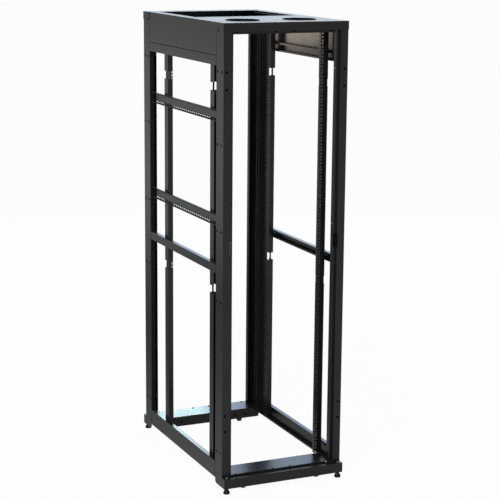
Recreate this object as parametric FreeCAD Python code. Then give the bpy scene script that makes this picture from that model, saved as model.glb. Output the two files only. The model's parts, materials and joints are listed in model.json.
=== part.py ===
import FreeCAD, Part
import math
import os

V = FreeCAD.Vector

# How round things are drawn (number of flat sides), and how far cutters run past a face
ROUND_SIDES = 24
PIN_SIDES = 12
HOLE_SIDES = 8
PORT_SIDES = 48
DRILL_LONG = 8.0
CUT = 1.0

# Overall frame, in millimetres. The front faces -Y and the floor is z = 0. BEND is how far a folded corner
# is cut back, and SEAM_GAP is the gap under the upper side panels.
HOLE_SPACING = 465.12
HOLE_TO_SIDE = 71.04
RAIL_HOLE_X = HOLE_SPACING / 2
POST_OUT_X = RAIL_HOLE_X + HOLE_TO_SIDE
POST_OUT_Y = 500.0
TOP_Z = 2143.0
SILL_PLATE_Z = 82.0
BEND = 2.2
SEAM_GAP = 2.5

# Corner posts: a stepped channel folded from one sheet, its mouth towards the middle of the rack
POST_SHEET = 2.0
POST_FACE = 37.6
POST_OUTER_DEPTH = 82.5
POST_RETURN = 20.0
DOOR_STEP = 14.8
DOOR_SEAT = 14.3
DOOR_FLANGE = 23.7
SIDE_HOLE_INSET = (66.5, 22.0)
SIDE_HOLE_DROP = (213.0, 536.0, 1247.0)
SIDE_HOLE_RISE = 102.0
FASTEN_DROP = 924.0
FACE_HOLE_INSET = 15.1
FACE_HOLE_RISE = (209.8, 285.7)
HINGE_DROP = (213.0, 290.0)
POST_HOLE_D = 7.0
LATCH_DROP = 1030.5
LATCH_TALL = 62.0
LATCH_FACE = 4.5
DOOR_HOLE_INSET = 12.0
DOOR_HOLE_DROP = (213.0, 924.0)
TOP_HOLE_INSET = 58.5
TOP_HOLE_DROP = 35.0

# Rack rails: one folded sheet with square holes in the 45-unit pattern
UNIT = 44.45
UNIT_HOLES = (6.35, 22.225, 38.1)
RAIL_SHEET = 2.0
RAIL_HOLE = 9.5
RAIL_LIFT = 2.0
RAIL_DROP = 53.0
RAIL_FOOT_Z = SILL_PLATE_Z + RAIL_LIFT
RAIL_TALL = TOP_Z - RAIL_DROP - RAIL_FOOT_Z
RAIL_END = 2.8
UNITS = int((RAIL_TALL - 2 * RAIL_END) / UNIT)
FRONT_RAIL_INSET = 113.0
REAR_RAIL_INSET = 187.0
HOLE_TO_EDGE = 7.56
HOLE_TO_WALL = 27.44
SIDE_DEEP = 20.6
RAIL_IN_X = RAIL_HOLE_X - HOLE_TO_EDGE
RAIL_FACE_X = RAIL_HOLE_X + HOLE_TO_WALL
RAIL_OUT_X = POST_OUT_X - SIDE_DEEP
RAIL_LIP = 18.0
RAIL_DEPTH = 86.0
RAIL_OUTER_FRONT = 41.0
NOTCH_DROP = (272.0, 1201.0)
NOTCH_TALL = 36.0
NOTCH_WALL = 20.0
NOTCH_FLANGE = 11.0
NOTCH_BRIDGE = 8.0

# Side rails and upper side panels between the posts
SIDE_SHEET = 2.0
SIDE_LIP = 8.0
PANEL_TALL = 146.0
UPPER_RAIL_TALL = 42.5
MID_RAIL_DROP = 1083.0
MID_RAIL_TALL = 40.0
LOWER_RAIL_RISE = 46.4
LOWER_RAIL_TALL = 78.4
PANEL_SHEET = 1.6
PANEL_FLANGE = 48.6
LEDGE_DROP = 8.6
LEDGE_WIDE = 12.0

# Top frame
CAP_SHEET = 1.6
CAP_SKIRT = 38.0
CAP_SIDE = 29.0
CAP_RETURN = 22.0
CAP_LIP = 13.0
CAP_GAP = 1.5
DOOR_STOP_DROP = 5.0
COVER_REAR_Y = -50.0
COVER_GAP = 0.4
PORT_INSET_X = 163.6
PORT_INSET_Y = 170.0
PORT_D = 146.6
PORT_CLEAR = 0.3
GROMMET_WALL = 4.0
GROMMET_LAP = 3.7
GROMMET_FLANGE = 3.0
GROMMET_SLEEVE = 10.0
DOOR_STOP_INSET = 70.6
DOOR_STOP_MID = 44.5
DOOR_STOP_HOLE_D = 6.0

# Base sills
SILL_SHEET = 2.5
SILL_OVER = 0.4
SILL_HALF = POST_OUT_X + SILL_OVER
SILL_STEP = 30.0
SILL_STEP_DROP = 9.0
SILL_LEDGE_Z = SILL_PLATE_Z - SILL_STEP_DROP
SILL_FOOT_Z = 26.5
SILL_BACK_DEPTH = 116.0
SILL_BACK_FOOT_Z = 31.0
SILL_RETURN = 12.0
SILL_END_DEPTH = 78.0
SILL_END_ROUND = 16.0
END_ROUND_STEPS = 6
SILL_NOTCH = 22.0
SKIRT_HOLE_INSET = (100.0, 152.0)
SKIRT_HOLE_DROP = 28.5

# Levelling feet
FOOT_INSET = 18.0
FOOT_OUT = 15.0
FOOT_X = SILL_HALF - FOOT_INSET
FOOT_Y = POST_OUT_Y + FOOT_OUT
FOOT_R = 15.5
PAD_EDGE = 2.0
PAD_TALL = 9.0
NECK_Z = 20.0
NECK_TALL = 10.0
FOOT_NECK_R = 8.0
STUD_R = 6.0
STUD_PROUD = 6.0
STUD_CLEAR = 0.4
NECK_CLEAR = 2.0
NUT_R = 10.0
NUT_SIDES = 6
NUT_TALL = 9.0

# Swivel casters under the sill plates
CASTER_INSET_X = 115.0
CASTER_INSET_Y = 47.0
CASTER_TRAIL = 25.0
WHEEL_R = 25.0
WHEEL_Z = 27.0
TREAD_WIDE = 16.0
TREAD_BEVEL = 2.5
TREAD_DEEP = 7.0
WEB_RECESS = 3.0
HUB_WIDE = 24.0
HUB_R = 9.0
AXLE_R = 4.0
PIN_CLEAR = 0.3
FORK_GAP = 26.0
FORK_SHEET = 2.5
FORK_PLATE = 3.0
FORK_PLATE_R = 21.0
FORK_ROOT = 15.0
FORK_SHOULDER = 10.0
FORK_BOSS = 9.0
AXLE_PROUD = 2.0
MOUNT_PLATE = (64.0, 72.0, 3.0)
RACE_R = 19.0
RACE_TALL = 6.5
PIN_R = 5.0
PIN_HEAD_R = 8.0
PIN_HEAD = 3.0

# Lacing bars: an outward-opening trough with slots along both flanges and a hem at each edge
UPPER_BAR_DROP = 411.0
LOWER_BAR_DROP = 882.0
BAR_INSET = 112.0
BAR_HALF = POST_OUT_Y - BAR_INSET
BAR_WEB_HALF = 15.5
BAR_HALF_TALL = 25.5
BAR_FLARE = 14.0
BAR_SHEET = 2.0
BAR_SLOT_PITCH = 25.4
BAR_PLAIN_END = 45.0
BAR_SLOTS = int(2 * (BAR_HALF - BAR_PLAIN_END) / BAR_SLOT_PITCH)
BAR_SLOT_LONG = 9.0
BAR_SLOT_WIDE = 5.5
BAR_SLOT_IN = 4.6
BAR_HEM = 10.0
BAR_END_CUT = 8.0


def box(x0, x1, y0, y1, z0, z1):
    """A box between two corners, in any order of each pair."""
    low = V(min(x0, x1), min(y0, y1), min(z0, z1))
    return Part.makeBox(abs(x1 - x0), abs(y1 - y0), abs(z1 - z0), low)


def bent_sheet(path, thick, long):
    """A folded sheet: thickness to the left of a 2-D path, drawn out along +Z."""
    wire = Part.makePolygon([V(u, v, 0) for u, v in path])
    face = wire.makeOffset2D(-thick, 2, True, True, False)
    return face.extrude(V(0, 0, long))


def flat_plate(outline, thick):
    """A flat plate with a straight-sided outline, drawn out along +Z."""
    points = [V(u, v, 0) for u, v in outline]
    wire = Part.makePolygon(points + points[:1])
    return Part.Face(wire).extrude(V(0, 0, thick))


def ring(radius, sides, z):
    """Corner points of a regular outline about Z."""
    turns = [2 * math.pi * (index + 0.5) / sides for index in range(sides)]
    return [V(radius * math.cos(turn), radius * math.sin(turn), z) for turn in turns]


def disc(radius, sides, z, tall):
    """A flat-sided round piece about Z, from z upwards."""
    corners = ring(radius, sides, z)
    return Part.Face(Part.makePolygon(corners + corners[:1])).extrude(V(0, 0, tall))


def drill(wide, start, along, true_round=False):
    """A cutter for a sheet hole: a true cylinder where a screw is meant to fit, else eight-sided."""
    if true_round:
        return Part.makeCylinder(wide / 2, DRILL_LONG, start, along)
    cutter = disc(wide / 2, HOLE_SIDES, 0, DRILL_LONG)
    cutter.Placement = FreeCAD.Placement(start, FreeCAD.Rotation(V(0, 0, 1), along))
    return cutter


def lay_along_x(shape, start):
    """Turn a section drawn as (y, z) so that it runs along X from start."""
    turn = FreeCAD.Rotation(V(0, 1, 0), V(0, 0, 1), V(1, 0, 0), "XYZ")
    laid = shape.copy()
    laid.Placement = FreeCAD.Placement(V(start, 0, 0), turn)
    return laid


def lay_along_y(shape, start):
    """Turn a section drawn as (x, z) so that it runs towards -Y from start."""
    turn = FreeCAD.Rotation(V(1, 0, 0), V(0, 0, 1), V(0, -1, 0), "XYZ")
    laid = shape.copy()
    laid.Placement = FreeCAD.Placement(V(0, start, 0), turn)
    return laid


def fuse(shapes):
    """One clean solid from touching or overlapping shapes."""
    whole = shapes[0].multiFuse(shapes[1:]) if len(shapes) > 1 else shapes[0]
    return whole.removeSplitter()


def mirror_x(shape):
    """The same piece on the other side of the rack."""
    return shape.mirror(V(0, 0, 0), V(1, 0, 0))


def mirror_y(shape):
    """The same piece at the other end of the rack."""
    return shape.mirror(V(0, 0, 0), V(0, 1, 0))


def corner_post():
    """The front right post, with its side, face and latch cut-outs."""
    out_x = POST_OUT_X
    out_y = -POST_OUT_Y
    in_x = out_x - POST_FACE
    seat_x = in_x - DOOR_SEAT
    seat_y = out_y + DOOR_STEP
    back_y = out_y + POST_OUTER_DEPTH
    path = [
        (seat_x, seat_y + DOOR_FLANGE),
        (seat_x, seat_y),
        (in_x, seat_y),
        (in_x, out_y),
        (out_x, out_y),
        (out_x, back_y - BEND),
        (out_x - BEND, back_y),
        (out_x - POST_RETURN, back_y),
    ]
    post = bent_sheet(path, POST_SHEET, TOP_Z - CAP_SHEET - SILL_PLATE_Z)
    post.translate(V(0, 0, SILL_PLATE_Z))
    cuts = []
    for z, fasten in post_hole_heights(SIDE_HOLE_DROP, (SIDE_HOLE_RISE,), (FASTEN_DROP,)):
        for inset in SIDE_HOLE_INSET:
            start = V(out_x - POST_SHEET - CUT, out_y + inset, z)
            cuts.append(drill(POST_HOLE_D, start, V(1, 0, 0), fasten))
    top_hole = V(out_x - POST_SHEET - CUT, out_y + TOP_HOLE_INSET, TOP_Z - TOP_HOLE_DROP)
    cuts.append(drill(POST_HOLE_D, top_hole, V(1, 0, 0)))
    for z, fasten in post_hole_heights(DOOR_HOLE_DROP, (SIDE_HOLE_RISE,), ()):
        cuts.append(drill(POST_HOLE_D, V(seat_x - CUT, seat_y + DOOR_HOLE_INSET, z), V(1, 0, 0), fasten))
    for z, fasten in post_hole_heights((), FACE_HOLE_RISE, HINGE_DROP):
        start = V(out_x - FACE_HOLE_INSET, out_y - CUT, z)
        cuts.append(drill(POST_HOLE_D, start, V(0, 1, 0), fasten))
    low = TOP_Z - LATCH_DROP
    latch_in = seat_x + POST_SHEET
    latch_deep = seat_y + POST_SHEET + CUT
    cuts.append(box(latch_in, in_x + LATCH_FACE, out_y - CUT, latch_deep, low, low + LATCH_TALL))
    return post.cut(cuts)


def post_hole_heights(drops, rises, fasten_drops):
    """Heights of a post's holes from the top and from the sill, each with whether a screw is meant to fit."""
    heights = [(TOP_Z - drop, False) for drop in drops]
    heights += [(SILL_PLATE_Z + rise, False) for rise in rises]
    return heights + [(TOP_Z - drop, True) for drop in fasten_drops]


def rail_hole_heights():
    """Centre heights of every square hole, three to a rack unit."""
    foot = RAIL_FOOT_Z + RAIL_END
    return [foot + unit * UNIT + rise for unit in range(UNITS) for rise in UNIT_HOLES]


def rack_rail(lipped):
    """A right-hand rack rail: a face with square holes, folded back and around at its outer side.

    The front rails also have a lip along the inner edge. The rail stands on its own face plane at y = 0.
    """
    back = RAIL_DEPTH - RAIL_SHEET
    outer = RAIL_OUT_X - RAIL_SHEET
    lip = [(RAIL_IN_X, RAIL_LIP)] if lipped else []
    path = lip + [
        (RAIL_IN_X, 0),
        (RAIL_FACE_X, 0),
        (RAIL_FACE_X, back),
        (outer, back),
        (outer, RAIL_OUTER_FRONT),
    ]
    rail = bent_sheet(path, RAIL_SHEET, RAIL_TALL)
    rail.translate(V(0, 0, RAIL_FOOT_Z))
    half = RAIL_HOLE / 2
    cuts = []
    for z in rail_hole_heights():
        cuts.append(box(RAIL_HOLE_X - half, RAIL_HOLE_X + half, -CUT, RAIL_SHEET + CUT, z - half, z + half))
    for drop in NOTCH_DROP:
        cuts += rail_notch(TOP_Z - drop - NOTCH_TALL, TOP_Z - drop)
    return rail.cut(cuts)


def rail_notch(low, high):
    """Two cutters that open a rail's outer wall and its inner back corner, with a bridge left between."""
    deep = RAIL_DEPTH + CUT
    wall_in = RAIL_FACE_X - RAIL_SHEET - CUT
    outer_in = RAIL_OUT_X - NOTCH_FLANGE
    return [
        box(outer_in, RAIL_OUT_X + CUT, RAIL_OUTER_FRONT - CUT, deep, low, high),
        box(wall_in, outer_in - NOTCH_BRIDGE, RAIL_DEPTH - NOTCH_WALL, deep, low, high),
    ]


def corner_cutter(x, y, side, end, size, low, high):
    """A cutter that takes off an upright corner at x, y; side and end are its outward signs in X and Y."""
    outline = [
        (x - side * (size + CUT), y + end * CUT),
        (x + side * CUT, y + end * CUT),
        (x + side * CUT, y - end * (size + CUT)),
    ]
    return moved(flat_plate(outline, high - low + 2 * CUT), 0, 0, low - CUT)


def side_channel(z_high, tall):
    """A lipped channel on the right side, open to the inside, with an end plate against each post."""
    z_low = z_high - tall
    x_out = POST_OUT_X
    x_in = RAIL_OUT_X
    path = [
        (x_in, z_low + SIDE_LIP),
        (x_in, z_low),
        (x_out, z_low),
        (x_out, z_high),
        (x_in, z_high),
        (x_in, z_high - SIDE_LIP),
    ]
    half = POST_OUT_Y - POST_OUTER_DEPTH
    shapes = [lay_along_y(bent_sheet(path, SIDE_SHEET, 2 * half), half)]
    for end in (-1, 1):
        y = end * half
        shapes.append(box(x_in, x_out, y, y - end * SIDE_SHEET, z_low, z_high))
    bends = [corner_cutter(x_out, end * half, 1, end, BEND, z_low, z_high) for end in (-1, 1)]
    return fuse(shapes).cut(bends)


def upper_panel():
    """The deep right panel under the top edge, with end flanges and a ledge for the cover."""
    x_out = POST_OUT_X
    half = POST_OUT_Y - POST_OUTER_DEPTH
    z_low = TOP_Z - PANEL_TALL + SEAM_GAP
    x_flange = x_out - PANEL_FLANGE
    path = [
        (x_out - SIDE_DEEP, z_low),
        (x_out, z_low),
        (x_out, TOP_Z),
        (x_flange, TOP_Z),
        (x_flange, TOP_Z - LEDGE_DROP),
        (x_flange - LEDGE_WIDE, TOP_Z - LEDGE_DROP),
    ]
    sheet = lay_along_y(bent_sheet(path, PANEL_SHEET, 2 * half), half)
    shapes = [sheet]
    for end in (-1, 1):
        y = end * half
        y_in = y - end * PANEL_SHEET
        shapes.append(box(x_out - SIDE_DEEP, x_out, y, y_in, z_low, TOP_Z - LEDGE_DROP))
    bends = [corner_cutter(x_out, end * half, 1, end, BEND, z_low, TOP_Z) for end in (-1, 1)]
    return fuse(shapes).cut(bends)


def top_header():
    """The front top member: a cap over both posts with a door-stop lip between them."""
    half = POST_OUT_X + CAP_SHEET
    face = -POST_OUT_Y - CAP_SHEET
    back = -POST_OUT_Y + POST_OUTER_DEPTH
    low = TOP_Z - CAP_SKIRT
    between = POST_OUT_X - POST_FACE - DOOR_SEAT - CAP_GAP
    shapes = [
        box(-half, half, face, back, TOP_Z - CAP_SHEET, TOP_Z),
        box(-half, half, face, face + CAP_SHEET, low, TOP_Z),
        box(-half, -half + CAP_SHEET, face, back, TOP_Z - CAP_SIDE, TOP_Z),
        box(half - CAP_SHEET, half, face, back, TOP_Z - CAP_SIDE, TOP_Z),
    ]
    stop_y = -POST_OUT_Y + CAP_RETURN
    shapes.append(box(-between, between, face, stop_y, low, low + CAP_SHEET))
    shapes.append(box(-between, between, stop_y - CAP_SHEET, stop_y, low - CAP_LIP, low + CAP_SHEET))
    header = fuse(shapes)
    holes = []
    for x in door_stop_places():
        start = V(x, stop_y - CAP_SHEET - CUT, low - DOOR_STOP_DROP)
        holes.append(drill(DOOR_STOP_HOLE_D, start, V(0, 1, 0)))
    return header.cut(holes)


def door_stop_places():
    """Positions of the small holes along the front of a header or a sill."""
    outer = POST_OUT_X - DOOR_STOP_INSET
    return (-outer, -DOOR_STOP_MID, DOOR_STOP_MID, outer)


def top_cover():
    """The front cover sheet, turned down at its edges onto the panel ledges, with two cable ports."""
    half = POST_OUT_X - PANEL_FLANGE - COVER_GAP
    front = -POST_OUT_Y + POST_OUTER_DEPTH + COVER_GAP
    low = TOP_Z - LEDGE_DROP + CAP_SHEET
    body = box(-half, half, front, COVER_REAR_Y, low, TOP_Z)
    inner = half - CAP_SHEET
    under = TOP_Z - CAP_SHEET
    hollow = box(-inner, inner, front + CAP_SHEET, COVER_REAR_Y - CAP_SHEET, low - CUT, under)
    port = disc(PORT_D / 2, PORT_SIDES, low, TOP_Z - low + CUT)
    return body.cut([hollow, at_port(port, -1), at_port(port, 1)])


def at_port(shape, side):
    """A copy of a shape drawn about Z, moved to the left (-1) or right (1) cable port."""
    return moved(shape, side * (POST_OUT_X - PORT_INSET_X), -POST_OUT_Y + PORT_INSET_Y, 0)


def cable_grommet(side):
    """An edging ring that sits on the cover and lines one cable port."""
    low = TOP_Z - GROMMET_SLEEVE
    tall = GROMMET_SLEEVE + GROMMET_FLANGE
    port_r = PORT_D / 2
    sleeve_r = port_r - PORT_CLEAR
    sleeve = disc(sleeve_r, PORT_SIDES, low, tall)
    flange = disc(port_r + GROMMET_LAP, PORT_SIDES, TOP_Z, GROMMET_FLANGE)
    bore = Part.makeCylinder(sleeve_r - GROMMET_WALL, tall + 2 * CUT, V(0, 0, low - CUT))
    return at_port(fuse([sleeve, flange]).cut(bore), side)


def turned(profile, sides):
    """A turned piece about Z from (radius, z) points, bottom to top, drawn with flat faces."""
    rings = [ring(radius, sides, z) for radius, z in profile]
    outlines = [rings[0][::-1], rings[-1]]
    for low, high in zip(rings, rings[1:]):
        for index in range(sides):
            outlines.append([low[index - 1], low[index], high[index], high[index - 1]])
    faces = [Part.Face(Part.makePolygon(points + points[:1])) for points in outlines]
    shell = Part.makeShell(faces)
    shell.sewShape()
    return Part.makeSolid(shell)


def base_sill():
    """The front base sill: stepped face, top plate, inner skirt and closed rounded ends."""
    step = -POST_OUT_Y
    face = step - SILL_STEP
    back = step + SILL_BACK_DEPTH
    path = [
        (back - SILL_RETURN, SILL_BACK_FOOT_Z),
        (back, SILL_BACK_FOOT_Z),
        (back, SILL_PLATE_Z),
        (step, SILL_PLATE_Z),
        (step, SILL_LEDGE_Z),
        (face, SILL_LEDGE_Z),
        (face, SILL_FOOT_Z),
        (face + SILL_RETURN, SILL_FOOT_Z),
    ]
    section = lay_along_x(bent_sheet(path, SILL_SHEET, 2 * SILL_HALF), -SILL_HALF)
    trims = []
    for side in (-1, 1):
        x_out = side * (SILL_HALF + CUT)
        x_in = side * (SILL_HALF - SILL_NOTCH)
        trims.append(box(x_in, x_out, step + SILL_END_DEPTH, back + CUT, 0, SILL_PLATE_Z + CUT))
    body = section.cut(trims)
    end = sill_end(face, step)
    right = lay_along_x(end, SILL_HALF - SILL_SHEET)
    left = lay_along_x(end, -SILL_HALF)
    sill = fuse([body, right, left])
    holes = []
    for x in door_stop_places():
        start = V(x, step - CUT, (SILL_PLATE_Z + SILL_LEDGE_Z) / 2)
        holes.append(drill(DOOR_STOP_HOLE_D, start, V(0, 1, 0)))
    for inset in SKIRT_HOLE_INSET:
        for side in (-1, 1):
            start = V(side * (SILL_HALF - inset), back - DRILL_LONG / 2, SILL_PLATE_Z - SKIRT_HOLE_DROP)
            holes.append(drill(DOOR_STOP_HOLE_D, start, V(0, 1, 0)))
    through = SILL_SHEET + 2 * CUT
    for side in (-1, 1):
        stud = disc(STUD_R + STUD_CLEAR, PIN_SIDES, SILL_LEDGE_Z - SILL_SHEET - CUT, through)
        neck = disc(FOOT_NECK_R + NECK_CLEAR, PIN_SIDES, SILL_FOOT_Z - CUT, through)
        holes += [moved(hole, side * FOOT_X, -FOOT_Y, 0) for hole in (stud, neck)]
    return sill.cut(holes)


def sill_end(face, step):
    """The end plate of a sill as a (y, z) outline, rounded under the side rail."""
    back = step + SILL_END_DEPTH
    outline = [(face, SILL_FOOT_Z), (face, SILL_LEDGE_Z), (step, SILL_LEDGE_Z), (step, SILL_PLATE_Z)]
    outline += [(back, SILL_PLATE_Z)]
    for step_no in range(END_ROUND_STEPS + 1):
        angle = math.pi / 2 * step_no / END_ROUND_STEPS
        y = back - SILL_END_ROUND * (1 - math.cos(angle))
        z = SILL_FOOT_Z + SILL_END_ROUND * (1 - math.sin(angle))
        outline.append((y, z))
    return flat_plate(outline, SILL_SHEET)


def levelling_foot():
    """A pad, neck, hexagon lock nut and stud in one piece, under the front right corner."""
    seat = SILL_LEDGE_Z - SILL_SHEET
    pad = turned([
        (FOOT_R - PAD_EDGE, 0),
        (FOOT_R, PAD_EDGE),
        (FOOT_R, PAD_TALL),
        (FOOT_NECK_R, NECK_Z),
        (FOOT_NECK_R, NECK_Z + NECK_TALL),
    ], ROUND_SIDES)
    stud = disc(STUD_R, PIN_SIDES, NECK_Z, SILL_LEDGE_Z + STUD_PROUD - NECK_Z)
    nut = disc(NUT_R, NUT_SIDES, seat - NUT_TALL, NUT_TALL)
    return moved(fuse([pad, stud, nut]), FOOT_X, -FOOT_Y, 0)


def caster_levels():
    """Heights of the mounting plate, bearing race and fork plate, from the sill plate down."""
    plate_top = SILL_PLATE_Z - SILL_SHEET
    plate_low = plate_top - MOUNT_PLATE[2]
    race_low = plate_low - RACE_TALL
    fork_top = race_low - PIN_CLEAR
    return plate_top, plate_low, race_low, fork_top


def caster_plate():
    """The fixed mounting plate with its bearing race and headed pin, about its own axis."""
    plate_top, plate_low, race_low, fork_top = caster_levels()
    wide, deep, _ = MOUNT_PLATE
    fork_low = fork_top - FORK_PLATE
    head_top = fork_low - PIN_CLEAR
    shapes = [
        box(-wide / 2, wide / 2, -deep / 2, deep / 2, plate_low, plate_top),
        disc(RACE_R, ROUND_SIDES, race_low, RACE_TALL),
        Part.makeCylinder(PIN_R, plate_low - head_top, V(0, 0, head_top)),
        disc(PIN_HEAD_R, PIN_SIDES, head_top - PIN_HEAD, PIN_HEAD),
    ]
    return fuse(shapes)


def caster_fork():
    """The swivelling fork with its axle, trailing towards -Y from its own axis."""
    fork_top = caster_levels()[3]
    fork_low = fork_top - FORK_PLATE
    plate = disc(FORK_PLATE_R, ROUND_SIDES, fork_low, FORK_PLATE)
    axle_y = -CASTER_TRAIL
    boss = FORK_BOSS
    outline = [
        (-FORK_ROOT, fork_top),
        (FORK_ROOT, fork_top),
        (FORK_ROOT, fork_top - FORK_SHOULDER),
        (axle_y + boss, WHEEL_Z - boss / 2),
        (axle_y + boss / 2, WHEEL_Z - boss),
        (axle_y - boss / 2, WHEEL_Z - boss),
        (axle_y - boss, WHEEL_Z - boss / 2),
        (axle_y - boss, WHEEL_Z + boss / 2),
    ]
    leg = flat_plate(outline, FORK_SHEET)
    right = lay_along_x(leg, FORK_GAP / 2)
    left = lay_along_x(leg, -FORK_GAP / 2 - FORK_SHEET)
    reach = FORK_GAP / 2 + FORK_SHEET + AXLE_PROUD
    axle = across_wheel(Part.makeCylinder(AXLE_R, 2 * reach, V(0, 0, -reach)))
    fork = fuse([plate, right, left, axle])
    return fork.cut(Part.makeCylinder(PIN_R + PIN_CLEAR, FORK_PLATE + 2 * CUT, V(0, 0, fork_low - CUT)))


def across_wheel(shape):
    """Lay a piece drawn about Z on the wheel's axis."""
    laid = shape.copy()
    laid.Placement = FreeCAD.Placement(V(0, -CASTER_TRAIL, WHEEL_Z), FreeCAD.Rotation(V(0, 1, 0), 90))
    return laid


def caster_wheel():
    """The wheel on its axle: bevelled tread, thinner web and a hub that runs between the fork legs."""
    half = TREAD_WIDE / 2
    flat = half - TREAD_BEVEL
    tread = turned([
        (WHEEL_R - TREAD_BEVEL, -half),
        (WHEEL_R, -flat),
        (WHEEL_R, flat),
        (WHEEL_R - TREAD_BEVEL, half),
    ], ROUND_SIDES)
    rim = WHEEL_R - TREAD_DEEP
    recesses = [disc(rim, ROUND_SIDES, side * half - WEB_RECESS, 2 * WEB_RECESS) for side in (-1, 1)]
    hub = disc(HUB_R, ROUND_SIDES, -HUB_WIDE / 2, HUB_WIDE)
    bore = Part.makeCylinder(AXLE_R + PIN_CLEAR, 2 * HUB_WIDE, V(0, 0, -HUB_WIDE))
    return across_wheel(fuse([tread.cut(recesses), hub]).cut(bore))


def lacing_bar(z_mid):
    """A left-side cable bar on the rack rails: flat web and flared, hemmed, slotted flanges."""
    x_web = -RAIL_OUT_X
    x_out = x_web - BAR_SHEET - BAR_FLARE
    path = [
        (x_out + BAR_HEM, BAR_HALF_TALL),
        (x_out, BAR_HALF_TALL),
        (x_web - BAR_SHEET, BAR_WEB_HALF),
        (x_web - BAR_SHEET, -BAR_WEB_HALF),
        (x_out, -BAR_HALF_TALL),
        (x_out + BAR_HEM, -BAR_HALF_TALL),
    ]
    bar = lay_along_y(bent_sheet(path, BAR_SHEET, 2 * BAR_HALF), BAR_HALF)
    cuts = [bar_slot(y, side) for y in bar_slot_places() for side in (-1, 1)]
    for end in (-1, 1):
        cuts.append(corner_cutter(x_out, end * BAR_HALF, -1, end, BAR_END_CUT, -BAR_HALF_TALL, BAR_HALF_TALL))
    return moved(bar.cut(cuts), 0, 0, z_mid)


def bar_slot_places():
    """Positions of the slots along a lacing bar."""
    return [(index - (BAR_SLOTS - 1) / 2) * BAR_SLOT_PITCH for index in range(BAR_SLOTS)]


def bar_slot(y, side):
    """A cutter square to one flared flange: side is 1 for the upper flange and -1 for the lower."""
    rise = BAR_HALF_TALL - BAR_WEB_HALF
    tilt = side * math.degrees(math.atan2(rise, BAR_FLARE))
    wide = BAR_SLOT_WIDE / 2
    long = BAR_SLOT_LONG / 2
    cutter = box(-wide, wide, -long, long, -2 * BAR_SHEET, 2 * BAR_SHEET)
    cutter.rotate(V(0, 0, 0), V(0, 1, 0), tilt)
    share = BAR_SLOT_IN / math.hypot(BAR_FLARE, rise)
    cutter.translate(V(-RAIL_OUT_X - BAR_SHEET - share * BAR_FLARE, y, side * (BAR_WEB_HALF + share * rise)))
    return cutter


def moved(shape, x, y, z):
    """A copy of a shape shifted by x, y and z."""
    copy = shape.copy()
    copy.translate(V(x, y, z))
    return copy


def rail_nodes():
    """The four rack rails; the rear pair is turned end for end."""
    front = moved(rack_rail(True), 0, -POST_OUT_Y + FRONT_RAIL_INSET, 0)
    rear = moved(mirror_y(rack_rail(False)), 0, POST_OUT_Y - REAR_RAIL_INSET, 0)
    return {
        "front_right_rack_rail": front,
        "front_left_rack_rail": mirror_x(front),
        "rear_right_rack_rail": rear,
        "rear_left_rack_rail": mirror_x(rear),
    }


def corner_nodes(name, shape):
    """Four copies of a front right corner piece, mirrored to every corner."""
    return {
        "front_right_" + name: shape,
        "front_left_" + name: mirror_x(shape),
        "rear_right_" + name: mirror_y(shape),
        "rear_left_" + name: mirror_x(mirror_y(shape)),
    }


def side_nodes(name, shape):
    """Two copies of a right-hand piece."""
    return {"right_" + name: shape, "left_" + name: mirror_x(shape)}


def caster_nodes():
    """Four casters, all trailing the same way."""
    parts = {"caster_plate": caster_plate(), "caster_fork": caster_fork(), "caster_wheel": caster_wheel()}
    out_x = SILL_HALF - CASTER_INSET_X
    out_y = POST_OUT_Y - CASTER_INSET_Y
    nodes = {}
    for end, y in (("front", -out_y), ("rear", out_y)):
        for side, x in (("left", -out_x), ("right", out_x)):
            for name, shape in parts.items():
                nodes[end + "_" + side + "_" + name] = moved(shape, x, y, 0)
    return nodes


def build():
    """Every node of the rack by name."""
    nodes = {}
    nodes.update(corner_nodes("post", corner_post()))
    nodes.update(rail_nodes())
    nodes.update(side_nodes("upper_side_rail", side_channel(TOP_Z - PANEL_TALL, UPPER_RAIL_TALL)))
    nodes.update(side_nodes("mid_side_rail", side_channel(TOP_Z - MID_RAIL_DROP, MID_RAIL_TALL)))
    nodes.update(side_nodes("lower_side_rail", side_channel(SILL_PLATE_Z + LOWER_RAIL_RISE, LOWER_RAIL_TALL)))
    nodes.update(side_nodes("upper_side_panel", upper_panel()))
    header = top_header()
    nodes["front_top_header"] = header
    nodes["rear_top_header"] = mirror_y(header)
    nodes["top_cover"] = top_cover()
    nodes["left_cable_grommet"] = cable_grommet(-1)
    nodes["right_cable_grommet"] = cable_grommet(1)
    sill = base_sill()
    nodes["front_base_sill"] = sill
    nodes["rear_base_sill"] = mirror_y(sill)
    nodes.update(corner_nodes("levelling_foot", levelling_foot()))
    nodes.update(caster_nodes())
    nodes["lower_lacing_bar"] = lacing_bar(TOP_Z - LOWER_BAR_DROP)
    nodes["upper_lacing_bar"] = lacing_bar(TOP_Z - UPPER_BAR_DROP)
    return nodes


os.makedirs("parts", exist_ok=True)
for node, solid in build().items():
    solid.exportStep("parts/" + node + ".step")
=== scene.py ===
"""Looks of the open-frame rack: finishes of its sheet steel, its feet, casters, port rings and fixings."""

import json
import logging
import math
from dataclasses import dataclass, field
from enum import Enum
from typing import Optional, Sequence, Union

import bmesh
import bpy
from mathutils import Matrix, Vector


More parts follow.
